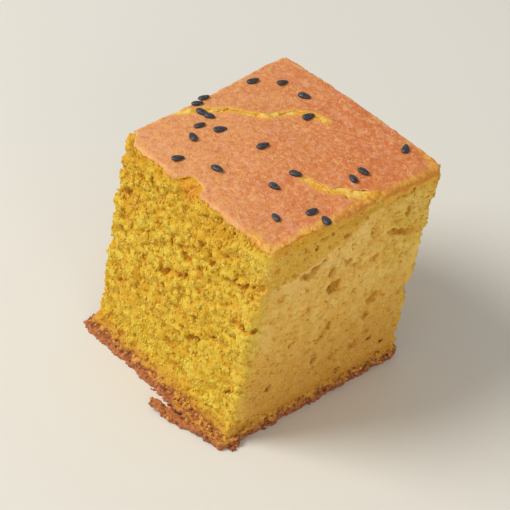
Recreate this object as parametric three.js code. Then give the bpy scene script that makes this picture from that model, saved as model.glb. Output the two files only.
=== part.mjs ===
// A cut square of tall yellow cornbread, in millimetres, +Z up.
// One solid: a leaning block of crumb with a low-domed top crust, a rounded shoulder where the crust
// rolls over the cut faces, two splits in the crust, a chip at its front edge, and a thin bottom crust
// that stands out round the foot as a ragged lip.
// The block's cut faces look along -Y (the torn front), +X (the knife-smooth side), +Y and -X.
import * as THREE from "three";
import { mergeVertices } from "three/addons/utils/BufferGeometryUtils.js";

// Driving dimensions
const FOOT_WIDTH = 43.4; // crumb at the foot, along X
const FOOT_DEPTH = 41.8; // crumb at the foot, along Y
const TOP_WIDTH = 44.2; // crust at the top, along X
const TOP_DEPTH = 42.6; // crust at the top, along Y
const HEIGHT = 46; // base to the crown of the dome
const DOME = 1.1; // how far the top falls from its crown to the middle of each side
const LEAN_X = 1.4; // how far the top stands over from the foot, because the knife cut on a slant
const LEAN_Y = 7.2;
const BACK_CORNER = 2.6; // how far the top's back left corner stands out along -X, past square
const CORNER = 1.3; // radius of the four upright edges
const SHOULDER = 0.9; // radius where the top crust rolls over

const crust = {
  height: 2.6, // bottom crust
  blend: 1.2, // the crumb above it, over which the lip dies away
  lip: 1.1, // usual overhang of the lip
  front: 1.6, // further overhang on the torn front
  ledge: 4.1, // and of the loose ledge there, at its free end
  ledgeFrom: 4.8, // where along X the ledge's free end is
  ledgeTaper: 0.85, // share of the ledge that is lost by the corner
  ragged: 0.5, // how far the lip's edge wanders
};

const relief = { torn: 0.55, cut: 0.28, grain: 3.1, lump: 7.5 }; // side faces: depths, and pitches

// Splits in the top crust: a run of points on the top, as shares of its half sides, and a size
const splits = [
  {
    run: [[-1, -0.58], [-0.89, -0.28], [-0.71, -0.04], [-0.43, 0.15], [-0.36, 0.41], [-0.22, 0.52], [-0.06, 0.55]],
    wide: 1.3,
    deep: 0.8,
  },
  { run: [[0.45, -0.16], [0.71, -0.07], [0.88, 0.12], [1, 0.26]], wide: 1.6, deep: 1.1 },
];
const chip = { x: -0.09, wide: 2.6, deep: 1.5, drop: 1.8 }; // missing bite of crust at the front edge

const ACROSS = 26; // faces along each side of the block
const UP = 24; // faces from base to top
const CRUST_RINGS = 3; // rings of faces given to the bottom crust and its blend
const SHOULDER_RINGS = 2; // and to the shoulder

// Smooth repeatable noise: hashed values on a cubic lattice, blended between
function hash(i, j, k) {
  const s = Math.sin(i * 127.1 + j * 311.7 + k * 74.7) * 43758.5453;
  return 2 * (s - Math.floor(s)) - 1;
}

function noise(x, y, z) {
  const cell = [x, y, z].map(Math.floor);
  const ease = [x, y, z].map((v, n) => THREE.MathUtils.smoothstep(v - cell[n], 0, 1));
  let sum = 0;
  for (let corner = 0; corner < 8; corner++) {
    const step = [corner & 1, (corner >> 1) & 1, (corner >> 2) & 1];
    const weight = step.reduce((w, s, n) => w * (s ? ease[n] : 1 - ease[n]), 1);
    sum += weight * hash(cell[0] + step[0], cell[1] + step[1], cell[2] + step[2]);
  }
  return sum;
}

// Height of each ring of points, base to top: close together in the crust and at the shoulder
function ringHeight(ring) {
  const foot = crust.height + crust.blend;
  const shoulder = HEIGHT - SHOULDER;
  if (ring <= CRUST_RINGS) return (foot * ring) / CRUST_RINGS;
  const left = UP - ring;
  if (left <= SHOULDER_RINGS) return HEIGHT - (SHOULDER * left) / SHOULDER_RINGS;
  const share = (ring - CRUST_RINGS) / (UP - CRUST_RINGS - SHOULDER_RINGS);
  return THREE.MathUtils.lerp(foot, shoulder, share);
}

// Distance from a point on the top to a split's line, in millimetres
function distanceToRun(x, y, run, halfWidth, halfDepth) {
  const point = new THREE.Vector2(x, y);
  let nearest = Infinity;
  for (let n = 1; n < run.length; n++) {
    const from = new THREE.Vector2(run[n - 1][0] * halfWidth, run[n - 1][1] * halfDepth);
    const along = new THREE.Vector2(run[n][0] * halfWidth, run[n][1] * halfDepth).sub(from);
    const share = THREE.MathUtils.clamp(point.clone().sub(from).dot(along) / along.lengthSq(), 0, 1);
    nearest = Math.min(nearest, point.distanceTo(from.addScaledVector(along, share)));
  }
  return nearest;
}

// How far the bottom crust stands out from the crumb, at a height and a place round the foot
function lipAt(x, y, z) {
  const fade = 1 - THREE.MathUtils.smoothstep(z, crust.height, crust.height + crust.blend);
  const front = THREE.MathUtils.smoothstep(-y, FOOT_DEPTH * 0.35, FOOT_DEPTH * 0.48);
  const start = THREE.MathUtils.smoothstep(x, crust.ledgeFrom - 1, crust.ledgeFrom + 0.5);
  const taper = 1 - crust.ledgeTaper * THREE.MathUtils.smoothstep(x, crust.ledgeFrom, FOOT_WIDTH / 2);
  const further = front * (crust.front + crust.ledge * start * taper);
  const under = THREE.MathUtils.lerp(1, 0.7, THREE.MathUtils.smoothstep(z, 0, crust.height));
  return fade * under * (crust.lip + further + crust.ragged * noise(x / 2.3, y / 2.3, 5));
}

// Moves a point of the two-unit cube to its place on the block
function place(a, b, ring) {
  const z = ringHeight(ring);
  const t = z / HEIGHT;
  const half = new THREE.Vector2(
    THREE.MathUtils.lerp(FOOT_WIDTH, TOP_WIDTH, t) / 2,
    THREE.MathUtils.lerp(FOOT_DEPTH, TOP_DEPTH, t) / 2,
  );
  // Round the upright edges: what lies outside an inner rectangle keeps its longest measure as a radius
  const flat = new THREE.Vector2(a * half.x, b * half.y);
  const inner = new THREE.Vector2(
    THREE.MathUtils.clamp(flat.x, CORNER - half.x, half.x - CORNER),
    THREE.MathUtils.clamp(flat.y, CORNER - half.y, half.y - CORNER),
  );
  const outer = flat.clone().sub(inner);
  const reach = Math.max(Math.abs(outer.x), Math.abs(outer.y));
  if (reach > 0) outer.setLength(reach);
  const spot = inner.clone().add(outer);

  // Each share of the way out from the middle moves with the cut face it is nearest to
  const rim = Math.max(Math.abs(a), Math.abs(b));
  const out = spot.clone().normalize();
  const side = THREE.MathUtils.smoothstep(rim, 0.8, 1);

  // Relief of the cut faces: the front is torn, the others are smoother, and the base stays level
  const torn = THREE.MathUtils.lerp(relief.cut, relief.torn, THREE.MathUtils.smoothstep(-b, 0.7, 1));
  const wander =
    0.6 * noise(spot.x / relief.lump, spot.y / relief.lump, z / relief.lump) +
    0.6 * noise(spot.x / relief.grain, spot.y / relief.grain, z / relief.grain);
  const above = THREE.MathUtils.smoothstep(z, 0, crust.height + crust.blend);
  let push = side * (torn * wander * above + lipAt(spot.x, spot.y, z));

  // The shoulder: the last rings draw in as a quarter circle
  const climb = Math.max(0, z - (HEIGHT - SHOULDER)) / SHOULDER;
  const drawn = side * SHOULDER * (1 - Math.sqrt(Math.max(0, 1 - climb * climb)));

  // The chip
  const fromChip = spot.x - chip.x * half.x;
  const near = Math.exp(-((fromChip / chip.wide) ** 2)) * THREE.MathUtils.smoothstep(-b, 0.7, 1);
  const high = THREE.MathUtils.smoothstep(z, HEIGHT - chip.drop * 2, HEIGHT - chip.drop * 0.5);
  push -= chip.deep * near * high;
  spot.addScaledVector(out, push);
  spot.addScaledVector(out, -drawn);

  // The top is not quite square: its left side swings out towards the back
  spot.x -= BACK_CORNER * t * Math.max(0, -a) * THREE.MathUtils.smoothstep(b, -0.2, 1);

  let level = z;
  if (ring === UP) {
    level -= DOME * (a * a + b * b) * 0.5 + chip.drop * 0.5 * near;
    level += 0.18 * noise(spot.x / relief.lump, spot.y / relief.lump, 9);
    for (const split of splits) {
      const away = distanceToRun(spot.x, spot.y, split.run, half.x, half.y);
      level -= split.deep * Math.exp(-((away / split.wide) ** 2));
    }
  } else {
    level -= t ** 4 * DOME * (a * a + b * b) * 0.5 * side;
  }
  return new THREE.Vector3(spot.x + LEAN_X * t, spot.y + LEAN_Y * t, level);
}

function blockGeometry() {
  const cube = new THREE.BoxGeometry(2, 2, 2, ACROSS, ACROSS, UP);
  cube.deleteAttribute("normal");
  cube.deleteAttribute("uv");
  const block = mergeVertices(cube, 1e-4);
  const points = block.getAttribute("position");
  for (let n = 0; n < points.count; n++) {
    const ring = Math.round(((points.getZ(n) + 1) / 2) * UP);
    const p = place(points.getX(n), points.getY(n), ring);
    points.setXYZ(n, p.x, p.y, p.z);
  }
  // The origin is under the middle of the bounding box, on the resting face
  block.computeBoundingBox();
  const middle = block.boundingBox.getCenter(new THREE.Vector3());
  block.translate(-middle.x, -middle.y, -block.boundingBox.min.z);
  block.computeVertexNormals();
  return block;
}

const bread = new THREE.Mesh(
  blockGeometry(),
  new THREE.MeshStandardMaterial({ color: 0xe3b04b, roughness: 0.85, metalness: 0 }),
);
bread.name = "cornbread_square";

const square = new THREE.Group();
square.name = "cornbread";
square.add(bread);

export default square;
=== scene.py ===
import math
import random
import bmesh
import bpy
from mathutils import Matrix, Vector
from mathutils.bvhtree import BVHTree


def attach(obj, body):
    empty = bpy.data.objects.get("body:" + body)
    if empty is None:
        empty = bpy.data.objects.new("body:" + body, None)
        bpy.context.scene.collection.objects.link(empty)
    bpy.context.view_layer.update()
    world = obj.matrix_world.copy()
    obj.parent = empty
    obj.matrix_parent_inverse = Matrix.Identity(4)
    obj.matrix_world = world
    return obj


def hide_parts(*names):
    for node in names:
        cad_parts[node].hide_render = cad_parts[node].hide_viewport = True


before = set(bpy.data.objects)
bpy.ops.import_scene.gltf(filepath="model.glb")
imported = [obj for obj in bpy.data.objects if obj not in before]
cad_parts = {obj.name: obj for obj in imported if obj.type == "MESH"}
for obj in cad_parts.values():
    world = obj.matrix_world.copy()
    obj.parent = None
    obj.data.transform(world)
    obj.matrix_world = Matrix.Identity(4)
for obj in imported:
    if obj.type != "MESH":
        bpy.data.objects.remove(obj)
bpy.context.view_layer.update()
print("frame loaded")

mm = 0.001
partNode = "cornbread_square"
fewestPoints = 3000.0  # a loose shell with fewer points than this is dropped

# The block of bread, in millimetres, in the same frame and with the same names as the solid
block = {
    "footWidth": 43.4,  # along X
    "footDepth": 41.8,  # along Y
    "topWidth": 44.2,
    "topDepth": 42.6,
    "height": 46.0,
    "dome": 1.1,
    "leanX": 1.4,  # the knife cut on a slant, so the top stands over
    "leanY": 7.2,
    "backCorner": 2.6,  # how far the top's back left corner stands out past square
    "corner": 1.3,  # radius of the upright edges
    "footX": -0.175,  # middle of the foot, from the middle of the box
    "footY": -0.631,
}


class Value:
    # a node's output that can stand in a formula, so that trees are written as sums
    def __init__(self, socket):
        self.socket = socket
        self.tree = socket.id_data

    def __add__(self, other):
        return calc("ADD", self, other)

    def __radd__(self, other):
        return calc("ADD", other, self)

    def __sub__(self, other):
        return calc("SUBTRACT", self, other)

    def __rsub__(self, other):
        return calc("SUBTRACT", other, self)

    def __mul__(self, other):
        return calc("MULTIPLY", self, other)

    def __rmul__(self, other):
        return calc("MULTIPLY", other, self)

    def __truediv__(self, other):
        return calc("DIVIDE", self, other)

    def __neg__(self):
        return calc("MULTIPLY", self, -1.0)


def plug(socket, value):
    if isinstance(value, Value):
        socket.id_data.links.new(value.socket, socket)
    elif value is not None:
        socket.default_value = value


def put(tree, kind, inputs=(), **settings):
    # inputs fill the node's sockets in order, or by name when they are a dictionary
    node = tree.nodes.new(kind)
    for name, value in settings.items():
        setattr(node, name, value)
    if isinstance(inputs, dict):
        for name, value in inputs.items():
            plug(next(s for s in node.inputs if s.name == name and s.enabled), value)
    else:
        for socket, value in zip([s for s in node.inputs if s.enabled], inputs):
            plug(socket, value)
    return node


def treeOf(values):
    return next(v.tree for v in values if isinstance(v, Value))


def calc(operation, *values):
    return Value(put(treeOf(values), "ShaderNodeMath", values, operation=operation).outputs[0])


def turn(operation, *values):
    node = put(treeOf(values), "ShaderNodeVectorMath", values, operation=operation)
    return Value(node.outputs["Value" if operation in ("LENGTH", "DISTANCE") else "Vector"])


def highest(*values):
    found = values[0]
    for value in values[1:]:
        found = calc("MAXIMUM", found, value)
    return found


def ramp(value, low, high, toLow=0.0, toHigh=1.0, smooth=True):
    node = put(treeOf([value, low, high, toLow, toHigh]), "ShaderNodeMapRange",
               interpolation_type="SMOOTHSTEP" if smooth else "LINEAR")
    for socket, x in zip([s for s in node.inputs if s.enabled], (value, low, high, toLow, toHigh)):
        plug(socket, x)
    return Value(node.outputs[0])


def between(share, first, second):
    return first + (second - first) * share


def parts(vector):
    node = put(vector.tree, "ShaderNodeSeparateXYZ", [vector])
    return [Value(s) for s in node.outputs]


def joined(tree, x, y, z):
    return Value(put(tree, "ShaderNodeCombineXYZ", [x, y, z]).outputs[0])


def noise(place, size, detail=0.0, rough=0.5, shift=0.0):
    # smooth noise from 0 to 1 whose bumps are about this size
    moved = turn("ADD", place, (shift, shift * 1.7, -shift))
    scale = 1.0 / size if isinstance(size, (int, float)) else calc("DIVIDE", 1.0, size)
    node = put(place.tree, "ShaderNodeTexNoise",
               {"Vector": moved, "Scale": scale, "Detail": detail, "Roughness": rough})
    return Value(node.outputs[0])


def cells(place, size, shift=0.0):
    # distance to the nearest scattered point, in the place's own unit, and that cell's chance number
    moved = turn("ADD", place, (shift, -shift * 1.3, shift * 0.7))
    scale = 1.0 / size if isinstance(size, (int, float)) else calc("DIVIDE", 1.0, size)
    node = put(place.tree, "ShaderNodeTexVoronoi", {"Vector": moved, "Scale": scale})
    chance = put(place.tree, "ShaderNodeSeparateXYZ", [Value(node.outputs["Color"])])
    return Value(node.outputs["Distance"]) * size, Value(chance.outputs[0])


socketKinds = {float: "NodeSocketFloat", int: "NodeSocketInt", bpy.types.Object: "NodeSocketObject",
               bpy.types.Material: "NodeSocketMaterial"}


def startTree(name, inputs):
    tree = bpy.data.node_groups.new(name, "GeometryNodeTree")
    tree.interface.new_socket(name="Geometry", in_out="OUTPUT", socket_type="NodeSocketGeometry")
    for label, value in inputs.items():
        tree.interface.new_socket(name=label, in_out="INPUT", socket_type=socketKinds[type(value)])
    start = tree.nodes.new("NodeGroupInput")
    return tree, {s.name: Value(s) for s in start.outputs if s.name}


def runTree(tree, inputs, name):
    # evaluates the tree on an empty object and keeps the result as a plain mesh
    holder = bpy.data.objects.new(name + "Holder", bpy.data.meshes.new(name + "Holder"))
    bpy.context.scene.collection.objects.link(holder)
    modifier = holder.modifiers.new("grow", "NODES")
    modifier.node_group = tree
    for item in tree.interface.items_tree:
        if item.in_out == "INPUT":
            modifier[item.identifier] = inputs[item.name]
    bpy.context.view_layer.update()
    seen = holder.evaluated_get(bpy.context.evaluated_depsgraph_get())
    mesh = bpy.data.meshes.new_from_object(seen)
    mesh.name = name
    bpy.data.objects.remove(holder)
    piece = bpy.data.objects.new(name, mesh)
    bpy.context.scene.collection.objects.link(piece)
    print(name, "has", triangles(mesh), "triangles")
    return piece


def blockFields(place, size):
    # distances in millimetres from a place to the block's faces, less than 0 inside
    x, y, z = parts(place)
    rise = z / size["height"]
    across = x - size["footX"] - rise * size["leanX"]
    along = y - size["footY"] - rise * size["leanY"]
    halfAcross = between(rise, size["footWidth"], size["topWidth"]) * 0.5
    halfAlong = between(rise, size["footDepth"], size["topDepth"]) * 0.5
    swungOut = rise * size["backCorner"] * ramp(along / halfAlong, -0.2, 1.0)
    face = {
        "right": across - halfAcross,
        "left": -across - halfAcross - swungOut,
        "back": along - halfAlong,
        "front": -along - halfAlong,
    }
    outX = highest(face["right"], face["left"]) + size["corner"]
    outY = highest(face["front"], face["back"]) + size["corner"]
    beyond = turn("LENGTH", joined(place.tree, highest(outX, 0.0), highest(outY, 0.0), 0.0))
    face["side"] = beyond + calc("MINIMUM", highest(outX, outY), 0.0) - size["corner"]
    shareX = across / halfAcross
    shareY = along / halfAlong
    face["crown"] = size["height"] - size["dome"] * 0.5 * (shareX * shareX + shareY * shareY)
    face["level"] = joined(place.tree, across, along, 0.0)
    face["height"] = z
    return face


def volumeMesh(tree, distance, low, high, voxel):
    # meshes the surface where the distance is 0 and drops the small loose shells
    count = [round((b - a) / v) for a, b, v in zip(low, high, voxel)]
    band = 4.0 * max(voxel)
    filled = ramp(distance, band, -band, smooth=False)
    cube = put(tree, "GeometryNodeVolumeCube", [filled, 0.0, low, high, *count])
    skin = put(tree, "GeometryNodeVolumeToMesh", {"Volume": Value(cube.outputs[0]), "Threshold": 0.5})
    island = put(tree, "GeometryNodeInputMeshIsland")
    size = put(tree, "GeometryNodeAccumulateField",
               {"Value": 1.0, "Group ID": Value(island.outputs["Island Index"])}, data_type="FLOAT")
    small = calc("LESS_THAN", Value(size.outputs["Total"]), fewestPoints)
    kept = put(tree, "GeometryNodeDeleteGeometry", {"Geometry": Value(skin.outputs[0]), "Selection": small})
    return Value(kept.outputs[0])


def store(tree, geometry, name, value):
    node = put(tree, "GeometryNodeStoreNamedAttribute",
               {"Geometry": geometry, "Name": name, "Value": value}, data_type="FLOAT", domain="POINT")
    return Value(node.outputs[0])


def finishTree(tree, geometry, material):
    # the formulas work in millimetres, and the piece leaves in metres
    smooth = put(tree, "GeometryNodeSetShadeSmooth", {"Geometry": geometry})
    sized = put(tree, "GeometryNodeTransform", {"Geometry": Value(smooth.outputs[0]), "Scale": (mm,) * 3})
    real = put(tree, "GeometryNodeRealizeInstances", {"Geometry": Value(sized.outputs[0])})
    dressed = put(tree, "GeometryNodeSetMaterial",
                  {"Geometry": Value(real.outputs[0]), "Material": material})
    tree.links.new(dressed.outputs[0], tree.nodes.new("NodeGroupOutput").inputs[0])


def triangles(mesh):
    return sum(len(p.vertices) - 2 for p in mesh.polygons)


def lighten(piece, most):
    # collapses the flattest faces of a piece that has more triangles than this
    found = triangles(piece.data)
    if found <= most:
        return
    modifier = piece.modifiers.new("lighten", "DECIMATE")
    modifier.ratio = most / found
    seen = piece.evaluated_get(bpy.context.evaluated_depsgraph_get())
    lighter = bpy.data.meshes.new_from_object(seen)
    piece.modifiers.clear()
    heavy = piece.data
    piece.data = lighter
    bpy.data.meshes.remove(heavy)
    print(piece.name, "lightened to", triangles(piece.data), "triangles")


def toObject(tree, item):
    return Value(put(tree, "GeometryNodeObjectInfo", {"Object": item}).outputs["Geometry"])


def distanceTo(tree, geometry, place, element):
    node = put(tree, "GeometryNodeProximity", {"Geometry": geometry, "Sample Position": place},
               target_element=element)
    return Value(node.outputs["Distance"])


def wires(name, runs):
    # loose edges that a tree measures from, in millimetres
    mesh = bpy.data.meshes.new(name)
    points = [p for run in runs for p in run]
    edges = []
    start = 0
    for run in runs:
        edges += [(start + n, start + n + 1) for n in range(len(run) - 1)]
        start += len(run)
    mesh.from_pydata(points, edges, [])
    guide = bpy.data.objects.new(name, mesh)
    bpy.context.scene.collection.objects.link(guide)
    return guide


def wobble(place, size):
    # a vector that wanders from place to place, each part from about -1 to 1
    node = put(place.tree, "ShaderNodeTexNoise", {"Vector": place, "Scale": 1.0 / size, "Detail": 1.0})
    centred = turn("SUBTRACT", Value(node.outputs["Color"]), (0.5, 0.5, 0.5))
    return turn("MULTIPLY", centred, (3.0, 3.0, 3.0))


def swing(place, size, detail=0.0, rough=0.5, shift=0.0):
    # noise from about -1 to 1
    return (noise(place, size, detail, rough, shift) - 0.5) * 3.0


# The top of the loaf: its waves, splits and chip, placed as shares of the top's half sides
topShape = {
    "wave": 9.0,
    "waveDepth": 0.26,
    "ripple": 1.7,
    "rippleDepth": 0.1,
    "splitLip": 0.16,  # how far the crust rises beside a split
    "roundRolled": 2.6,  # radius of the rolled edge
    "chipRadius": 2.3,
    "bareFront": 2.2,  # how much crust the two left corners have lost
    "bareBack": 1.1,
}
splits = {
    "runs": [[(-1.08, -0.58), (-0.89, -0.28), (-0.71, -0.04), (-0.56, 0.06), (-0.43, 0.15), (-0.39, 0.29),
              (-0.33, 0.44), (-0.22, 0.52), (-0.06, 0.55)],
             [(0.45, -0.16), (0.6, -0.13), (0.71, -0.07), (0.8, 0.04), (0.9, 0.12), (0.96, 0.22),
              (1.05, 0.27)]],
    "chip": (-0.09, -1.0),
}
halfTop = (block["topWidth"] / 2, block["topDepth"] / 2)


def onTop(place):
    return (place[0] * halfTop[0], place[1] * halfTop[1], 0.0)


splitGuide = wires("splitGuide", [[onTop(p) for p in run] for run in splits["runs"]])


def topFields(place, face, size):
    # height above the crust's surface, distance to the nearest split, and how far inside the chip
    # and the two left corners that have lost their crust
    away = distanceTo(place.tree, toObject(place.tree, size["splitGuide"]), face["level"], "EDGES")
    wave = swing(place, size["wave"], 1.0, 0.5, 5.0) * size["waveDepth"]
    ripple = swing(place, size["ripple"], 2.0, 0.5, 9.0) * size["rippleDepth"]
    rise = ramp(away, 2.6, 0.5) * size["splitLip"]
    chipX, chipY, _ = onTop(splits["chip"])
    fromChip = turn("MULTIPLY", turn("SUBTRACT", face["level"], (chipX, chipY, 0.0)), (0.75, 1.1, 1.0))
    chip = size["chipRadius"] - turn("LENGTH", fromChip) + swing(place, 1.2, 2.0, 0.6, 51.0) * 0.5
    leftFront = size["bareFront"] + (face["left"] + face["front"]) * 0.7
    leftFront = leftFront + swing(place, 1.5, 2.0, 0.6, 61.0) * 0.4
    leftBack = size["bareBack"] + (face["left"] + face["back"]) * 0.7
    leftBack = leftBack + swing(place, 1.5, 2.0, 0.6, 71.0) * 0.4
    return face["height"] - face["crown"] - wave - ripple - rise, away, chip, highest(leftFront, leftBack)


def rolledEdge(face, along):
    # 1 where the crust rolls over the top of the knife-cut side
    toRight = ramp(face["right"] - highest(face["front"], face["left"], face["back"]), -2.0, 0.5)
    return toRight * ramp(along, -9.0, 1.0)


crumb = {
    "voxel": 0.25,
    "underCrust": 0.4,  # how far the crumb's top lies below the crust's, and how far inside a split
    "inSplit": 0.14,
    "base": 0.9,  # where the crumb starts, inside the bottom crust
    "shoulder": 0.8,
    "flare": 1.0,  # how far the foot of the torn front spreads
    "swell": 7.0,  # sizes of the relief, and its depths on a torn and on a cut side
    "swellTorn": 0.55,
    "swellCut": 0.25,
    "lobe": 3.6,
    "lobeTorn": 0.5,
    "lobeCut": 0.12,
    "clump": 2.1,
    "clumpTorn": 1.0,
    "clumpCut": 0.36,
    "lump": 1.5,
    "lumpTorn": 0.5,
    "lumpCut": 0.22,
    "grain": 0.72,
    "grainTorn": 0.36,
    "grainCut": 0.4,
    "pore": 2.5,  # the fine pores that a knife leaves open
    "poreRadius": 0.8,
    "tornLeft": 0.55,  # how torn the left, the edge of the right and back, and the right's top are
    "tornEdge": 0.8,
    "tornUpper": 0.45,
    "band": 0.4,  # how far the denser band under the crust stands out of the knife-cut side
    "bandDeep": 9.5,  # its depth at the front corner and at the back
    "bandThin": 3.0,
    "deep": 3.2,  # no relief below this depth
    "soft": 0.35,  # how gently a hole or tear runs into the side
    "most": 195000,  # triangles, past which the piece is lightened
}
# Holes in the knife-cut side: place along the side, height and radius
holes = [(-1.6, 27.7, 1.85), (10.6, 19.1, 1.6), (-15.0, 31.3, 0.9), (9.7, 15.4, 1.2), (11.2, 10.7, 1.0),
         (3.0, 8.9, 1.2), (8.1, 9.1, 1.3), (17.6, 26.9, 1.1), (8.3, 30.1, 1.0), (-1.3, 39.4, 1.0),
         (1.2, 32.2, 1.0), (-3.1, 31.9, 1.1), (-2.3, 10.7, 1.0), (-9.8, 18.0, 0.9), (20.6, 17.0, 1.4),
         (-13.5, 9.5, 0.9), (14.2, 38.0, 1.2), (-7.0, 25.0, 0.8), (4.5, 24.0, 0.8), (6.2, 36.4, 1.1)]
holeOut = 0.15  # share of a hole's radius by which its middle lies outside the side
# Tears, as runs of a place along the side and a height
tears = {
    "cut": [[(-0.4, 18.2), (-1.3, 16.9), (-2.8, 15.2)],
            [(-13.0, 36.2), (-11.4, 34.7), (-9.4, 33.8), (-7.9, 34.8), (-5.6, 35.9)],
            [(10.7, 34.9), (13.5, 33.4), (16.0, 32.6), (19.0, 30.9)]],
    "torn": [[(11.3, 32.3), (13.4, 32.6), (15.8, 33.4), (18.6, 34.9), (21.8, 36.8)],
             [(16.4, 25.6), (18.6, 25.5), (21.2, 26.5)],
             [(5.6, 36.4), (7.1, 35.4), (8.3, 33.9)],
             [(-22.6, 34.6), (-20.6, 33.2), (-17.6, 33.9)],
             [(-4.8, 23.6), (-2.2, 25.0), (1.8, 26.3)],
             [(5.0, 13.6), (6.0, 15.0), (7.9, 16.1)],
             [(-2.0, 31.6), (0.4, 30.1), (2.0, 30.4)],
             [(-16.5, 14.0), (-14.0, 15.5), (-12.2, 15.4)],
             [(-12.0, 41.0), (-9.6, 39.2), (-7.6, 39.0)]],
    "radius": 0.7,
    "depth": 1.0,
}


def tearGuide(side):
    return wires(side + "Tears", [[(p[0], p[1], 0.0) for p in run] for run in tears[side]])


def dents(where, spots):
    # how far inside the nearest of some round holes a place lies
    rooms = [radius - turn("DISTANCE", where, (along, height, radius * holeOut))
             for along, height, radius in spots]
    return highest(*rooms)


def growCrumb(material):
    sizes = {**block, **topShape, **crumb, "splitGuide": splitGuide, "material": material,
             "cutTears": tearGuide("cut"), "tornTears": tearGuide("torn")}
    tree, size = startTree("crumbTree", sizes)
    place = Value(put(tree, "GeometryNodeInputPosition").outputs[0])
    face = blockFields(place, size)
    z = face["height"]
    across, along, _ = parts(face["level"])

    # the front is torn, the left partly, and the knife left the others smooth
    wrap = between(ramp(z, 36.0, 27.0), 2.0, 4.5) + (noise(place, 4.0, 2.0, 0.6, 8.0) - 0.5) * 5.0
    torn = ramp(face["front"] - highest(face["right"], face["back"], face["left"]), -wrap, 1.0)
    tornLeft = ramp(face["left"] - highest(face["front"], face["right"], face["back"]), -2.5, 1.0)
    tornEdge = ramp(face["right"] + face["back"], -3.5, -0.5)
    tornEdge = tornEdge * ramp(noise(place, 5.0, 0.0, 0.5, 3.0), 0.35, 0.6)
    rough = ramp(face["right"] - highest(face["front"], face["back"], face["left"]), -2.0, 0.5)
    further = along + (noise(place, 6.0, 1.0, 0.5, 6.0) - 0.5) * 16.0
    rough = rough * ramp(further, 3.0, 16.0) * ramp(z, 16.0, 34.0)
    torn = highest(torn, tornLeft * size["tornLeft"], tornEdge * size["tornEdge"],
                   rough * size["tornUpper"])

    above, away, chip, corners = topFields(place, face, size)
    sunk = between(ramp(away, 1.7, 0.7), size["underCrust"], size["inSplit"])
    top = above + sunk + highest(chip, 0.0) * 0.7 * (1.0 + swing(place, 0.9, 1.0, 0.5, 81.0) * 0.5)
    # the denser band under the crust is deepest at the front corner of the knife-cut side
    wavy = swing(place, 3.2, 2.0, 0.6, 37.0)
    bandDepth = ramp(along, -14.0, 7.0, size["bandDeep"], size["bandThin"]) + wavy * 0.9
    banded = ramp(bandDepth + top, -0.25, 0.25) * ramp(face["right"] - face["front"], -1.0, 1.5)
    rolled = rolledEdge(face, along)
    tucked = rolled * ramp(top, -3.6, -2.2)
    side = face["side"] - torn * size["flare"] * ramp(z, 5.5, 1.0) - banded * size["band"] * (1.0 - tucked)
    side = side + tucked * size["underCrust"]
    body = calc("SMOOTH_MAX", side, top, between(rolled, size["shoulder"], size["roundRolled"]))
    bare = highest(ramp(top, -0.5, -1.6), ramp(away, 1.2, 0.5) * 0.8, ramp(chip, -0.8, 0.0),
                   ramp(corners, -0.3, 0.5))
    bare = bare * ramp(body, -size["deep"], 0.8 - size["deep"])

    swell = swing(place, size["swell"], 1.0, 0.5) * between(torn, size["swellCut"], size["swellTorn"])
    flat = turn("MULTIPLY", place, (1.0, 1.0, 1.4))
    wander = turn("SCALE", wobble(place, 1.5), 0.4)
    warped = turn("ADD", flat, wander)
    clumpAway, clumpChance = cells(warped, size["clump"], 11.0)
    clump = (clumpAway / size["clump"] - 0.5 + (clumpChance - 0.5) * 0.5)
    clump = clump * between(torn, size["clumpCut"], size["clumpTorn"]) * (1.0 - banded * 0.5)
    lump = swing(warped, size["lump"], 2.0, 0.55, 17.0) * between(torn, size["lumpCut"], size["lumpTorn"])
    lobe = swing(warped, size["lobe"], 1.0, 0.5, 53.0) * between(torn, size["lobeCut"], size["lobeTorn"])
    grainAway, grainChance = cells(warped, size["grain"], 3.0)
    grain = grainAway / size["grain"] - 0.45 + (grainChance - 0.5) * 0.4
    relief = (clump + lump + lobe + grain * between(torn, size["grainCut"], size["grainTorn"])) * bare
    relief = relief * between(torn * ramp(z, 30.0, 12.0), 1.0, 0.78)
    solid = body + swell * bare + relief

    # holes and tears, measured in each side's own flat picture with the depth as its third number
    cutPlace = turn("ADD", joined(tree, along, z, face["right"]), wander)
    inward = face["front"] * (tears["radius"] / tears["depth"])
    tornPlace = turn("ADD", joined(tree, across, z, inward), wander)
    cutAway = distanceTo(tree, toObject(tree, size["cutTears"]), cutPlace, "EDGES")
    tornAway = distanceTo(tree, toObject(tree, size["tornTears"]), tornPlace, "EDGES")
    poreAway, poreChance = cells(warped, size["pore"], 19.0)
    pore = size["poreRadius"] * ramp(poreChance, 0.25, 0.95, 0.2, 1.0, smooth=False) - poreAway
    pore = pore - torn * 1.5 - ramp(body, -1.2, -2.0) - ramp(top, -1.4, -0.6)
    wide = ramp(noise(place, 2.0, 1.0, 0.5, 29.0), 0.3, 0.7, -0.3, 0.35)
    hole = highest(dents(cutPlace, holes), tears["radius"] - cutAway + wide * 0.5, pore,
                   tears["radius"] - tornAway + wide)
    solid = calc("SMOOTH_MAX", solid, hole, size["soft"])
    solid = highest(solid, size["base"] - z)

    low = (-26.5, -26.5, 0.0)
    high = (26.5, 31.0, 47.5)
    shell = volumeMesh(tree, solid, low, high, (crumb["voxel"],) * 3)
    # how deep a point lies below the crumb's outer relief, which the crumb's colour uses for painted shade
    # in hollows and painted highlight on what stands out
    shell = store(tree, shell, "hollow", -body - swell * bare)
    shell = store(tree, shell, "torn", torn)
    shell = store(tree, shell, "underTop", -top)
    shell = store(tree, shell, "chip", chip)
    shell = store(tree, shell, "fromSplit", away)
    shell = store(tree, shell, "banded", banded)
    finishTree(tree, shell, size["material"])
    piece = runTree(tree, sizes, "crumb")
    for name in ("cutTears", "tornTears"):
        bpy.data.objects.remove(sizes[name])
    lighten(piece, crumb["most"])
    return piece


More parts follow.
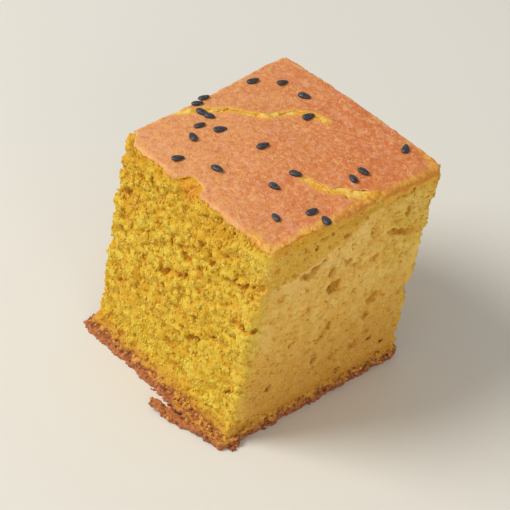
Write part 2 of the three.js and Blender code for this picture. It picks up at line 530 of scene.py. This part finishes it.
topCrust = {
    "voxel": 0.26,
    "voxelUp": 0.17,
    "thickness": 0.6,
    "round": 0.9,  # radius of the usual edge
    "overhang": 0.1,
    "ragged": 0.45,  # how far its edge wanders, and along the torn front
    "raggedFront": 0.85,
    "hem": 0.75,  # how far the crust hangs down a side, and how much further where it rolls over
    "hemRolled": 1.9,
    "hemRagged": 1.0,
    "gap": 0.42,  # half the width of the first split, and of the second where it meets the side
    "gapWide": 1.05,
    "soft": 0.16,  # how gently its faces run into each other
    "most": 190000,
}


def growTopCrust(material):
    sizes = {**block, **topShape, **topCrust, "splitGuide": splitGuide, "material": material}
    tree, size = startTree("topCrustTree", sizes)
    place = Value(put(tree, "GeometryNodeInputPosition").outputs[0])
    face = blockFields(place, size)
    z = face["height"]
    across, along, _ = parts(face["level"])
    top, away, chip, corners = topFields(place, face, size)

    atFront = ramp(face["front"], -3.0, -1.0)
    atSplit = ramp(face["right"], -3.0, -1.0) * ramp(along, 2.0, -6.0)
    ragged = swing(place, 2.4, 4.0, 0.7, 2.0)
    ragged = ragged * between(highest(atFront, atSplit), size["ragged"], size["raggedFront"])
    side = face["side"] - size["overhang"] + ragged - atFront * 0.15
    rolled = rolledEdge(face, along)
    turned = between(rolled, size["round"], size["roundRolled"])
    outer = calc("SMOOTH_MAX", side, top, turned)
    inner = calc("SMOOTH_MAX", side + size["thickness"], top + size["thickness"], turned)
    uneven = swing(place, 2.4, 3.0, 0.7, 14.0) * size["hemRagged"] * (1.0 + rolled)
    uneven = highest(uneven, -0.1 - rolled * 0.9)
    hang = size["hem"] + rolled * size["hemRolled"] + uneven
    hem = face["crown"] - hang - z
    halfGap = between(ramp(across, 7.0, 21.0), size["gap"], size["gapWide"])
    halfGap = halfGap * ramp(noise(place, 2.6, 1.0, 0.5, 31.0), 0.32, 0.68, 0.1, 1.7, smooth=False)
    gap = halfGap - away + swing(place, 0.9, 2.0, 0.6, 35.0) * 0.3

    shell = outer
    for cut in (-inner, hem, gap, chip, corners):
        shell = calc("SMOOTH_MAX", shell, cut, size["soft"])
    voxel = (topCrust["voxel"], topCrust["voxel"], topCrust["voxelUp"])
    low = (-26.5, -18.0, 41.4)
    high = (25.5, 30.5, 47.4)
    mesh = volumeMesh(tree, shell, low, high, voxel)
    mesh = store(tree, mesh, "inside", -outer)
    mesh = store(tree, mesh, "fromEdge", -highest(side, chip, corners))
    mesh = store(tree, mesh, "fromSplit", away)
    mesh = store(tree, mesh, "rolled", rolled)
    mesh = store(tree, mesh, "below", face["crown"] - z)
    finishTree(tree, mesh, size["material"])
    piece = runTree(tree, sizes, "topCrust")
    lighten(piece, topCrust["most"])
    return piece


bottomCrust = {
    "voxel": 0.3,
    "thickness": 2.5,
    "round": 0.7,
    "ragged": 0.5,
    "lip": 0.9,  # how far it stands out, and how much further along the torn front
    "lipFront": 1.9,
    "slope": 0.75,  # how fast the crust thins towards its lip
    "ledge": 4.8,  # the loose flake: how far it stands out, where it ends, its thickness and curl
    "ledgeFrom": 4.8,
    "ledgeThick": 1.25,
    "curl": 0.7,
    "notchAt": 3.7,  # the gap behind the flake's free end: its distance out, half width and length
    "notchHalf": 0.95,
    "notchLong": 7.5,
    "clump": 1.9,
    "clumpDepth": 0.8,
    "grain": 0.8,
    "grainDepth": 0.7,
    "most": 150000,
}


def growBottomCrust(material):
    sizes = {**block, **bottomCrust, "material": material}
    tree, size = startTree("bottomCrustTree", sizes)
    place = Value(put(tree, "GeometryNodeInputPosition").outputs[0])
    face = blockFields(place, size)
    z = face["height"]
    across, _, _ = parts(face["level"])

    warped = turn("ADD", place, turn("SCALE", wobble(place, 1.5), 0.4))
    clumpAway, clumpChance = cells(warped, size["clump"], 15.0)
    clump = (clumpAway / size["clump"] - 0.5 + (clumpChance - 0.5) * 0.6) * size["clumpDepth"]
    grainAway, _ = cells(warped, size["grain"], 23.0)
    grain = (grainAway / size["grain"] - 0.45) * size["grainDepth"]
    front = ramp(face["front"], -2.0, -0.2)
    wander = swing(face["level"], 2.6, 3.0, 0.65, 43.0) * size["ragged"]
    side = face["side"] - size["lip"] - front * size["lipFront"] + wander
    outward = highest(face["side"] + 0.3, 0.0)
    uneven = swing(face["level"], 2.2, 3.0, 0.65, 33.0) * size["ragged"]
    above = z - size["thickness"] + outward * size["slope"] - uneven
    skirt = calc("SMOOTH_MAX", side, above, size["round"])

    # the loose flake at the front: thin, widest at its free end, where it curls up a little
    fromTip = across - size["ledgeFrom"]
    reach = ramp(across, size["ledgeFrom"], size["footWidth"] * 0.5, 1.0, 0.15, smooth=False) * size["ledge"]
    free = ramp(fromTip, 4.0, 0.0)
    curl = free * ramp(face["front"], 1.5, 5.0) * size["curl"]
    flake = calc("ABSOLUTE", z - size["ledgeThick"] * 0.5 - 0.1 - curl) - size["ledgeThick"] * 0.5
    flakeSide = face["front"] - size["lip"] - size["lipFront"] * 0.6 - reach + wander
    flakeEnd = swing(face["level"], 1.4, 2.0, 0.6, 47.0) * 0.5 - fromTip
    flakeEnd = flakeEnd + calc("ABSOLUTE", face["front"] - 5.9) * 0.8 - 0.6
    flakeBack = -2.0 - face["front"]
    notch = ramp(fromTip, -2.0, size["notchLong"], size["notchHalf"] * 1.3, 0.0, smooth=False)
    notch = notch - calc("ABSOLUTE", face["front"] - size["notchAt"]) + wander * 0.4
    flake = highest(flake, calc("SMOOTH_MAX", flakeSide, flakeEnd, 0.8), flakeBack, face["right"] - 0.6)
    flake = calc("SMOOTH_MAX", flake, notch, 0.3)
    relief = (clump + grain) * between(ramp(face["front"], 3.0, 4.5), 1.0, 0.5)
    solid = calc("SMOOTH_MIN", skirt, flake, 0.25) + relief
    solid = calc("SMOOTH_MAX", solid, -z, 0.1)
    low = (-25.8, -30.0, -0.9)
    high = (25.8, 25.0, 4.8)
    mesh = volumeMesh(tree, solid, low, high, (bottomCrust["voxel"],) * 3)
    mesh = store(tree, mesh, "hollow", -calc("MINIMUM", skirt, flake))
    finishTree(tree, mesh, size["material"])
    piece = runTree(tree, sizes, "bottomCrust")
    lighten(piece, bottomCrust["most"])
    return piece


# Loose grains that stand on the torn crumb and on the crumbly foot
crumbGrains = {
    "perArea": 1.5,  # for each square millimetre of torn side
    "onCut": 0.42,  # share of that on a cut side
    "smallest": 0.36,
    "largest": 1.0,
    "lowest": 2.6,  # none stands below this height, or closer than this under the top
    "underTop": 0.2,
    "seed": 3,
}
footGrains = {
    "perArea": 1.5,
    "onCut": 1.0,
    "smallest": 0.4,
    "largest": 1.15,
    "lowest": 0.65,
    "underTop": -9.0,
    "seed": 8,
}


def grainForm():
    # an irregular pebble of 20 triangles, about 1 across
    chance = random.Random(21)
    golden = (1 + math.sqrt(5)) / 2
    points = []
    for a in (-1, 1):
        for b in (-golden, golden):
            points += [(0, a, b), (a, b, 0), (b, 0, a)]
    mesh = bpy.data.meshes.new("grainForm")
    form = bpy.data.objects.new("grainForm", mesh)
    bpy.context.scene.collection.objects.link(form)
    shell = bmesh.new()
    for point in points:
        shell.verts.new(Vector(point).normalized() * 0.5 * chance.uniform(0.72, 1.1))
    bmesh.ops.convex_hull(shell, input=shell.verts)
    bmesh.ops.recalc_face_normals(shell, faces=shell.faces)
    shell.to_mesh(mesh)
    shell.free()
    return form


def growGrains(name, surface, settings, material):
    form = grainForm()
    sizes = {**settings, "surface": surface, "form": form, "material": material}
    tree, size = startTree(name + "Tree", sizes)
    large = put(tree, "GeometryNodeTransform",
                {"Geometry": toObject(tree, size["surface"]), "Scale": (1 / mm,) * 3})
    place = Value(put(tree, "GeometryNodeInputPosition").outputs[0])
    _, _, z = parts(place)

    def named(label):
        node = put(tree, "GeometryNodeInputNamedAttribute", {"Name": label}, data_type="FLOAT")
        return Value(node.outputs[0])

    share = between(named("torn"), size["onCut"], 1.0)
    share = share * calc("GREATER_THAN", z, size["lowest"])
    share = share * calc("GREATER_THAN", named("underTop"), size["underTop"])
    spread = put(tree, "GeometryNodeDistributePointsOnFaces",
                 {"Mesh": Value(large.outputs[0]), "Density": size["perArea"] * share,
                  "Seed": size["seed"]})
    spun = put(tree, "FunctionNodeRandomValue", {"Max": (math.tau,) * 3, "Seed": size["seed"] + 1.0},
               data_type="FLOAT_VECTOR")
    turned = put(tree, "FunctionNodeEulerToRotation", [Value(spun.outputs[0])])
    drawn = put(tree, "FunctionNodeRandomValue", {"Seed": size["seed"] + 2.0}, data_type="FLOAT")
    chance = Value(drawn.outputs[1])
    longer = put(tree, "FunctionNodeRandomValue", {"Min": (0.75, 0.75, 0.6), "Max": (1.3, 1.1, 1.0),
                 "Seed": size["seed"] + 3.0}, data_type="FLOAT_VECTOR")
    width = between(chance * chance, size["smallest"], size["largest"])
    extent = turn("SCALE", Value(longer.outputs[0]), width)
    placed = put(tree, "GeometryNodeInstanceOnPoints",
                 {"Points": Value(spread.outputs[0]), "Instance": toObject(tree, size["form"]),
                  "Rotation": Value(turned.outputs[0]), "Scale": extent})
    tone = Value(put(tree, "FunctionNodeRandomValue", {"Min": -1.0, "Seed": size["seed"] + 4.0},
                     data_type="FLOAT").outputs[1])
    toned = put(tree, "GeometryNodeStoreNamedAttribute",
                {"Geometry": Value(placed.outputs[0]), "Name": "tone", "Value": tone},
                data_type="FLOAT", domain="INSTANCE")
    finishTree(tree, Value(toned.outputs[0]), size["material"])
    grains = runTree(tree, sizes, name)
    bpy.data.objects.remove(form)
    return grains


sesame = {
    "length": 2.6,
    "width": 1.6,
    "thick": 0.8,
    "above": 60.0,  # where the search for the crust below a seed starts
    "sunk": 0.1,  # how deep a seed sits in the crust
    "tilt": 0.18,
    "vary": 0.1,
    "seed": 4,
    # each seed's place across and along the top, from its front left corner, and its heading in degrees
    "places": [(-0.01, 0.45, 65), (0.02, 0.40, 55), (0.09, 0.37, 20), (0.13, 0.38, 25), (0.16, 0.30, 70),
               (0.24, 0.35, 70), (0.21, 0.22, 160), (0.29, 0.07, 70), (0.45, 0.16, 10), (0.03, 0.72, 75),
               (0.12, 0.82, 85), (0.26, 0.83, 20), (0.40, 0.73, 85), (0.45, 0.42, 85), (0.68, 0.41, 25),
               (0.69, 0.28, 15), (0.85, 0.15, 170), (0.91, 0.30, 85), (0.99, 0.31, 165), (0.85, 0.59, 170),
               (0.84, 0.66, 15), (0.82, 0.93, 130)],
}


def seedForm():
    # a flat teardrop, blunt at one end and pointed at the other
    rings = 9
    around = 14
    points = [(-0.5, 0.0, 0.0)]
    for n in range(1, rings):
        share = n / rings
        along = 0.5 - 0.5 * math.cos(math.pi * share)
        width = math.sin(math.pi * share) ** 0.9 * (1.12 - 0.42 * along) * 0.5
        for k in range(around):
            angle = math.tau * k / around
            points.append((along - 0.5, width * math.cos(angle), width * math.sin(angle)))
    points.append((0.5, 0.0, 0.0))
    last = len(points) - 1
    faces = []
    for k in range(around):
        after = (k + 1) % around
        faces.append((0, 1 + after, 1 + k))
        faces.append((last, last - around + k, last - around + after))
        for n in range(rings - 2):
            row = 1 + n * around
            faces.append((row + k, row + after, row + around + after, row + around + k))
    mesh = bpy.data.meshes.new("seedForm")
    mesh.from_pydata(points, [], faces)
    form = bpy.data.objects.new("seedForm", mesh)
    bpy.context.scene.collection.objects.link(form)
    return form


def seedSpots(crust):
    # a point for each seed on the crust, with its turn and size
    chance = random.Random(sesame["seed"])
    down = Vector((0, 0, -1))
    surface = BVHTree.FromObject(crust, bpy.context.evaluated_depsgraph_get())
    spots = []
    turns = []
    sizes = []
    for across, along, heading in sesame["places"]:
        x = block["footX"] + block["leanX"] + (across * 2 - 1) * halfTop[0]
        y = block["footY"] + block["leanY"] + (along * 2 - 1) * halfTop[1]
        inward = Vector((0.5 - across, 0.5 - along, 0.0)) * 1.2
        hit = None
        while hit is None:
            hit, normal, _, _ = surface.ray_cast(Vector((x, y, sesame["above"])) * mm, down)
            x += inward.x
            y += inward.y
        size = 1.0 + chance.uniform(-1, 1) * sesame["vary"]
        tilt = Vector((chance.uniform(-1, 1), chance.uniform(-1, 1), 0)) * sesame["tilt"]
        up = (normal + Vector((0, 0, 1.5)) + tilt * 2).normalized()
        ahead = Vector((math.cos(math.radians(heading)), math.sin(math.radians(heading)), 0))
        ahead = (ahead - up * ahead.dot(up)).normalized()
        spots.append(hit / mm + up * (sesame["thick"] / 2 - sesame["sunk"]))
        turns.append(Matrix((ahead, up.cross(ahead), up)).transposed().to_euler())
        sizes.append(Vector((sesame["length"], sesame["width"], sesame["thick"])) * size)
    mesh = bpy.data.meshes.new("seedSpots")
    mesh.from_pydata(spots, [], [])
    for name, values in (("turn", turns), ("size", sizes)):
        layer = mesh.attributes.new(name, "FLOAT_VECTOR", "POINT")
        layer.data.foreach_set("vector", [x for v in values for x in v])
    guide = bpy.data.objects.new("seedSpots", mesh)
    bpy.context.scene.collection.objects.link(guide)
    return guide


def growSeeds(crust, material):
    guide = seedSpots(crust)
    form = seedForm()
    inputs = {"spots": guide, "form": form, "material": material}
    tree, size = startTree("sesameTree", inputs)
    heading = put(tree, "GeometryNodeInputNamedAttribute", {"Name": "turn"}, data_type="FLOAT_VECTOR")
    extent = put(tree, "GeometryNodeInputNamedAttribute", {"Name": "size"}, data_type="FLOAT_VECTOR")
    rotation = put(tree, "FunctionNodeEulerToRotation", [Value(heading.outputs[0])])
    placed = put(tree, "GeometryNodeInstanceOnPoints",
                 {"Points": toObject(tree, size["spots"]), "Instance": toObject(tree, size["form"]),
                  "Rotation": Value(rotation.outputs[0]), "Scale": Value(extent.outputs[0])})
    finishTree(tree, Value(placed.outputs[0]), size["material"])
    seeds = runTree(tree, inputs, "sesameSeeds")
    bpy.data.objects.remove(guide)
    bpy.data.objects.remove(form)
    return seeds


def mixColour(share, first, second):
    tree = treeOf([share, first, second])
    values = {"Factor": share, "A": (*first, 1.0) if isinstance(first, tuple) else first,
              "B": (*second, 1.0) if isinstance(second, tuple) else second}
    node = put(tree, "ShaderNodeMix", values, data_type="RGBA")
    return Value(next(s for s in node.outputs if s.enabled))


def attribute(tree, name):
    return Value(put(tree, "ShaderNodeAttribute", attribute_name=name).outputs["Fac"])


def startMaterial(name):
    material = bpy.data.materials.new(name)
    material.use_nodes = True
    tree = material.node_tree
    coordinates = tree.nodes.new("ShaderNodeTexCoord")
    place = turn("MULTIPLY", Value(coordinates.outputs["Object"]), (1 / mm,) * 3)
    return material, tree, tree.nodes["Principled BSDF"], place


def grainGroup():
    # fine grain shared by crumb and crusts: a height for bump, and pale specks
    group = bpy.data.node_groups.new("breadGrain", "ShaderNodeTree")
    group.interface.new_socket(name="Place", in_out="INPUT", socket_type="NodeSocketVector")
    group.interface.new_socket(name="Size", in_out="INPUT", socket_type="NodeSocketFloat")
    group.interface.new_socket(name="Height", in_out="OUTPUT", socket_type="NodeSocketFloat")
    group.interface.new_socket(name="Specks", in_out="OUTPUT", socket_type="NodeSocketFloat")
    start = group.nodes.new("NodeGroupInput")
    end = group.nodes.new("NodeGroupOutput")
    place, size = (Value(s) for s in list(start.outputs)[:2])
    rough = noise(place, size, 4.0, 0.65)
    away, chance = cells(place, size)
    plug(end.inputs["Height"], rough + (0.5 - away / size) * 0.5)
    plug(end.inputs["Specks"], ramp(chance, 0.82, 0.95) * ramp(away / size, 0.45, 0.25))
    return group


grain = grainGroup()


def useGrain(tree, place, size):
    node = put(tree, "ShaderNodeGroup", node_tree=grain)
    plug(node.inputs["Place"], place)
    plug(node.inputs["Size"], size)
    return Value(node.outputs["Height"]), Value(node.outputs["Specks"])


def bumpTo(principled, tree, height, depth):
    bump = put(tree, "ShaderNodeBump", {"Distance": depth * mm, "Height": height})
    tree.links.new(bump.outputs[0], principled.inputs["Normal"])


crumbColours = {
    "torn": (0.635, 0.36, 0.007),  # the torn front, its pale flecks, and near its top and right end
    "tornPale": (0.75, 0.56, 0.05),
    "tornUpper": (0.62, 0.335, 0.006),
    "tornRight": (0.80, 0.60, 0.08),
    "tornProudHighlight": (0.77, 0.60, 0.075),  # painted highlight on what stands out of it, and painted shade in its hollows
    "tornSunkShade": (0.62, 0.28, 0.005),
    "tornDeepShade": (0.57, 0.225, 0.004),
    "cut": (0.80, 0.455, 0.080),  # the knife-cut sides, their pale flecks and patches, and painted shade in their holes
    "cutPale": (0.90, 0.61, 0.160),
    "cutPatch": (0.92, 0.66, 0.22),
    "cutHoleShade": (0.56, 0.27, 0.02),
    "patch": (0.70, 0.36, 0.012),
    "band": (0.72, 0.41, 0.03),
    "cutLow": (0.61, 0.29, 0.032),
    "underCrust": (0.74, 0.35, 0.015),
    "split": (0.78, 0.37, 0.02),  # what shows in a split and where the crust is chipped
    "splitPale": (0.87, 0.58, 0.13),
    "chip": (0.60, 0.19, 0.006),
    "chipPale": (0.72, 0.36, 0.02),
    "speck": (0.87, 0.65, 0.17),  # specks, and the palest and darkest loose grains
    "grainPale": (0.85, 0.61, 0.13),
    "grainDark": (0.64, 0.31, 0.008),
    "foot": (0.60, 0.27, 0.02),
    "footRim": (0.36, 0.12, 0.03),
}


def crumbMaterial():
    tint = crumbColours
    material, tree, principled, place = startMaterial("goldenCrumb")
    x, _, z = parts(place)
    hollow = attribute(tree, "hollow")
    torn = attribute(tree, "torn")
    underTop = attribute(tree, "underTop")
    chip = attribute(tree, "chip")
    banded = attribute(tree, "banded")
    fromSplit = attribute(tree, "fromSplit")
    tone = attribute(tree, "tone")
    height, specks = useGrain(tree, place, 0.42)
    fleck = noise(place, 1.9, 3.0, 0.62, 13.0)
    patch = noise(place, 6.0, 2.0, 0.6)
    onTorn = mixColour(ramp(fleck, 0.38, 0.62), tint["torn"], tint["tornPale"])
    onTorn = mixColour(ramp(z + (patch - 0.5) * 30.0, 28.0, 44.0) * 0.5, onTorn, tint["tornUpper"])
    onTorn = mixColour(ramp(x + (patch - 0.5) * 12.0, 14.0, 21.0) * 0.45, onTorn, tint["tornRight"])
    # painted highlight on raised crumb, and painted shade that deepens into the torn side's hollows
    onTorn = mixColour(ramp(hollow, -0.15, -0.8) * 0.6, onTorn, tint["tornProudHighlight"])
    onTorn = mixColour(ramp(hollow, 0.0, 0.7) * 0.85, onTorn, tint["tornSunkShade"])
    onTorn = mixColour(ramp(hollow, 0.7, 1.7), onTorn, tint["tornDeepShade"])
    onCut = mixColour(ramp(fleck, 0.36, 0.66), tint["cut"], tint["cutPale"])
    paler = ramp(noise(place, 9.0, 2.0, 0.6, 23.0), 0.42, 0.62) * ramp(z, 14.0, 28.0)
    onCut = mixColour(paler * 0.6, onCut, tint["cutPatch"])
    # painted shade in the holes and pits of the knife-cut sides
    onCut = mixColour(ramp(hollow, 0.1, 0.9), onCut, tint["cutHoleShade"])
    colour = mixColour(torn, onCut, onTorn)
    colour = mixColour(ramp(patch, 0.38, 0.7) * 0.3, colour, tint["patch"])
    colour = mixColour(banded * (1.0 - torn) * 0.75, colour, tint["band"])
    low = z + (patch - 0.5) * 16.0
    colour = mixColour(ramp(low, 28.0, 4.0) * (1.0 - torn) * 0.75, colour, tint["cutLow"])
    under = ramp(underTop + (fleck - 0.5) * 3.0, 2.2, 0.6) * between(torn, 0.75, 0.35)
    colour = mixColour(under, colour, tint["underCrust"])
    inSplit = mixColour(ramp(fleck, 0.42, 0.58), tint["split"], tint["splitPale"])
    colour = mixColour(ramp(fromSplit, 1.8, 1.0) * ramp(underTop, 2.4, 1.2), colour, inSplit)
    bared = mixColour(ramp(noise(place, 0.9, 2.0, 0.6), 0.4, 0.6), tint["chip"], tint["chipPale"])
    colour = mixColour(ramp(chip, -0.2, 1.2) * ramp(underTop, 2.2, 0.6) * 0.9, colour, bared)
    colour = mixColour(specks * 0.5, colour, tint["speck"])
    colour = mixColour(ramp(tone, 0.0, 1.0) * 0.55, colour, tint["grainPale"])
    colour = mixColour(ramp(tone, 0.0, -1.0) * 0.5, colour, tint["grainDark"])
    foot = z + (noise(place, 1.6, 3.0, 0.7) - 0.5) * 4.0
    colour = mixColour(ramp(foot, 4.8, 2.4) * 0.75, colour, tint["foot"])
    colour = mixColour(ramp(foot, 2.6, 1.4), colour, tint["footRim"])
    plug(principled.inputs["Base Color"], colour)
    plug(principled.inputs["Roughness"], ramp(height, 0.3, 0.9, 0.6, 0.8))
    principled.inputs["Specular IOR Level"].default_value = 0.35
    principled.inputs["Subsurface Weight"].default_value = 0.3
    principled.inputs["Subsurface Radius"].default_value = (1.0, 0.85, 0.35)
    principled.inputs["Subsurface Scale"].default_value = 0.6 * mm
    bumpTo(principled, tree, height, 0.2)
    return material


topCrustColours = {
    "light": (0.745, 0.318, 0.108),  # from the front left to the back right
    "brown": (0.665, 0.180, 0.047),
    "pink": (0.75, 0.30, 0.185),
    "fleckPale": (0.84, 0.44, 0.17),
    "fleckDark": (0.57, 0.145, 0.04),
    "speck": (0.90, 0.58, 0.26),
    "split": (0.82, 0.45, 0.05),
    "rim": (0.80, 0.40, 0.10),
    "rimPale": (0.85, 0.50, 0.18),
    "rightRim": (0.84, 0.47, 0.07),  # the edge over the knife-cut side
    "rightRimDark": (0.71, 0.25, 0.025),
    "rolled": (0.68, 0.255, 0.020),
    "rolledLow": (0.80, 0.43, 0.04),
    "under": (0.80, 0.42, 0.035),  # the crust's inner face
}


def topCrustMaterial():
    tint = topCrustColours
    material, tree, principled, place = startMaterial("brownedCrust")
    x, y, _ = parts(place)
    inside = attribute(tree, "inside")
    fromEdge = attribute(tree, "fromEdge")
    fromSplit = attribute(tree, "fromSplit")
    rolled = attribute(tree, "rolled")
    below = attribute(tree, "below")
    height, specks = useGrain(tree, place, 0.5)
    patch = noise(place, 8.0, 3.0, 0.6)
    fine = noise(place, 1.0, 4.0, 0.75)
    browner = ramp(x * 0.6 + y * 0.65 + (patch - 0.5) * 34.0, -18.0, 22.0)
    colour = mixColour(browner, tint["light"], tint["brown"])
    pinker = ramp(noise(place, 2.4, 3.0, 0.7, 77.0), 0.48, 0.66)
    colour = mixColour(pinker * 0.6, colour, tint["pink"])
    colour = mixColour(ramp(fine, 0.44, 0.68) * 0.8, colour, tint["fleckPale"])
    colour = mixColour(ramp(fine, 0.48, 0.30) * 0.75, colour, tint["fleckDark"])
    colour = mixColour(specks * 0.35, colour, tint["speck"])
    split = ramp(fromSplit + (fine - 0.5) * 3.0, 1.5, 0.3)
    colour = mixColour(split * 0.85, colour, tint["split"])
    uneven = noise(place, 3.0, 2.0, 0.6, 91.0)
    rim = ramp(fromEdge + (fine - 0.5) * 3.2 - (uneven - 0.5) * 4.0, 0.9, 0.0)
    rimColour = mixColour(ramp(uneven, 0.4, 0.6), tint["rim"], tint["rimPale"])
    colour = mixColour(rim * 0.5, colour, rimColour)
    toRight = ramp(fromEdge + (fine - 0.5) * 3.0 + (uneven - 0.5) * 4.0, 2.2, 0.5) * ramp(x, 14.0, 19.0)
    streak = ramp(noise(place, 1.6, 3.0, 0.7, 43.0), 0.46, 0.58)
    colour = mixColour(toRight * 0.85, colour, mixColour(streak, tint["rightRim"], tint["rightRimDark"]))
    drop = below + (fine - 0.5) * 1.6 + (uneven - 0.5) * 2.4
    colour = mixColour(rolled * ramp(drop, 0.1, 0.9), colour, tint["rolled"])
    colour = mixColour(rolled * ramp(drop, 1.0, 1.9), colour, tint["rolledLow"])
    colour = mixColour(ramp(inside, 0.08, 0.3), colour, tint["under"])
    plug(principled.inputs["Base Color"], colour)
    plug(principled.inputs["Roughness"], ramp(fine, 0.3, 0.7, 0.44, 0.62))
    principled.inputs["Specular IOR Level"].default_value = 0.4
    principled.inputs["Subsurface Weight"].default_value = 0.08
    principled.inputs["Subsurface Radius"].default_value = (1.0, 0.4, 0.12)
    principled.inputs["Subsurface Scale"].default_value = 0.5 * mm
    bumpTo(principled, tree, height + fine, 0.15)
    return material


bottomCrustColours = {
    "dark": (0.21, 0.05, 0.018),
    "brown": (0.48, 0.16, 0.045),
    "flake": (0.58, 0.21, 0.065),
    "gold": (0.70, 0.37, 0.04),  # its upper part, where it meets the crumb
    "speck": (0.76, 0.38, 0.12),
    "grainPale": (0.76, 0.37, 0.075),
    "grainDark": (0.12, 0.028, 0.012),
}


def bottomCrustMaterial():
    tint = bottomCrustColours
    material, tree, principled, place = startMaterial("brownFoot")
    _, y, z = parts(place)
    tone = attribute(tree, "tone")
    height, specks = useGrain(tree, place, 0.5)
    fine = noise(place, 0.9, 3.0, 0.7)
    level = z + (fine - 0.5) * 3.0 + ramp(y, -20.0, -24.0) * 0.5
    colour = mixColour(ramp(fine, 0.34, 0.62), tint["dark"], tint["brown"])
    colour = mixColour(ramp(y, -21.0, -27.0) * 0.4, colour, tint["flake"])
    colour = mixColour(ramp(level, 1.3, 2.4) * ramp(y, -25.6, -23.6), colour, tint["gold"])
    colour = mixColour(specks * 0.8, colour, tint["speck"])
    colour = mixColour(ramp(tone, 0.15, 0.95), colour, tint["grainPale"])
    colour = mixColour(ramp(tone, -0.35, -1.0) * 0.85, colour, tint["grainDark"])
    plug(principled.inputs["Base Color"], colour)
    principled.inputs["Roughness"].default_value = 0.7
    principled.inputs["Specular IOR Level"].default_value = 0.35
    bumpTo(principled, tree, height, 0.2)
    return material


sesameColours = {
    "black": (0.012, 0.012, 0.017),
    # painted highlight: the bluish grey that stands in for light on the seed coat
    "mottledHighlight": (0.07, 0.075, 0.098),
}


def sesameMaterial():
    tint = sesameColours
    material, tree, principled, place = startMaterial("blackSeedCoat")
    fine = noise(place, 0.4, 3.0, 0.6)
    # random mottles of bluish grey, a painted highlight on the black coat
    colour = mixColour(ramp(fine, 0.36, 0.72), tint["black"], tint["mottledHighlight"])
    plug(principled.inputs["Base Color"], colour)
    plug(principled.inputs["Roughness"], ramp(fine, 0.3, 0.7, 0.36, 0.55))
    bumpTo(principled, tree, fine, 0.06)
    return material


print("crumb")
crumbLook = crumbMaterial()
crumbPiece = growCrumb(crumbLook)
print("top crust")
crustPiece = growTopCrust(topCrustMaterial())
print("bottom crust")
footLook = bottomCrustMaterial()
footPiece = growBottomCrust(footLook)
print("loose grains")
crumbGrainsPiece = growGrains("crumbGrains", crumbPiece, crumbGrains, crumbLook)
footGrainsPiece = growGrains("footGrains", footPiece, footGrains, footLook)
print("sesame")
seedPiece = growSeeds(crustPiece, sesameMaterial())
bpy.data.objects.remove(splitGuide)

for piece, slotName in ((crumbPiece, "crumb"), (crumbGrainsPiece, "crumb"), (crustPiece, "top_crust"),
                        (footPiece, "bottom_crust"), (footGrainsPiece, "bottom_crust"),
                        (seedPiece, "sesame")):
    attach(piece, "root")
    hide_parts(partNode)


stage = {
    "floorSize": 3.0,
    "floorColour": (0.745, 0.735, 0.69),
    "air": (1.0, 0.97, 0.92),
    "airStrength": 0.42,
    # each lamp's heading in degrees from +X, its height in degrees, distance, size, power and colour
    "lamps": {
        "key": (226.0, 48.0, 0.9, 0.5, 6.5, (1.0, 0.97, 0.92)),
        "fill": (-20.0, 16.0, 0.8, 0.6, 1.7, (1.0, 0.93, 0.82)),
    },
}


def makeFloor():
    half = stage["floorSize"] / 2
    mesh = bpy.data.meshes.new("floor")
    corners = [(-half, -half, 0), (half, -half, 0), (half, half, 0), (-half, half, 0)]
    mesh.from_pydata(corners, [], [(0, 1, 2, 3)])
    floor = bpy.data.objects.new("floor", mesh)
    bpy.context.scene.collection.objects.link(floor)
    material = bpy.data.materials.new("paleFloor")
    material.use_nodes = True
    principled = material.node_tree.nodes["Principled BSDF"]
    principled.inputs["Base Color"].default_value = (*stage["floorColour"], 1.0)
    principled.inputs["Roughness"].default_value = 0.6
    floor.data.materials.append(material)


def makeLamp(name, heading, height, away, size, power, colour):
    light = bpy.data.lights.new(name, "AREA")
    light.shape = "DISK"
    light.size = size
    light.energy = power
    light.color = colour
    lamp = bpy.data.objects.new(name, light)
    bpy.context.scene.collection.objects.link(lamp)
    level = math.cos(math.radians(height)) * away
    lamp.location = (math.cos(math.radians(heading)) * level, math.sin(math.radians(heading)) * level,
                     math.sin(math.radians(height)) * away)
    lamp.rotation_euler = (-Vector(lamp.location)).to_track_quat("-Z", "Y").to_euler()


def makeAir():
    world = bpy.data.worlds.new("softAir")
    world.use_nodes = True
    background = world.node_tree.nodes["Background"]
    background.inputs["Color"].default_value = (*stage["air"], 1.0)
    background.inputs["Strength"].default_value = stage["airStrength"]
    bpy.context.scene.world = world


view = {
    "from": (242.32, -208.53, 283.6),
    "at": (0.45, 1.09, 21.5),
    "lens": 149.0,
    "roll": 2.5,
}


def makeCamera():
    data = bpy.data.cameras.new("camera")
    data.lens = view["lens"]
    data.sensor_width = 36.0
    data.clip_start = 0.01
    camera = bpy.data.objects.new("camera", data)
    bpy.context.scene.collection.objects.link(camera)
    camera.location = Vector(view["from"]) * mm
    toPart = (Vector(view["at"]) - Vector(view["from"])).to_track_quat("-Z", "Y")
    roll = Matrix.Rotation(math.radians(view["roll"]), 3, "Z")
    camera.rotation_euler = (toPart.to_matrix() @ roll).to_euler()
    bpy.context.scene.camera = camera


makeFloor()
makeAir()
for name, lamp in stage["lamps"].items():
    makeLamp(name, *lamp)
makeCamera()
bpy.context.scene.view_settings.view_transform = "Standard"
print("stage set")
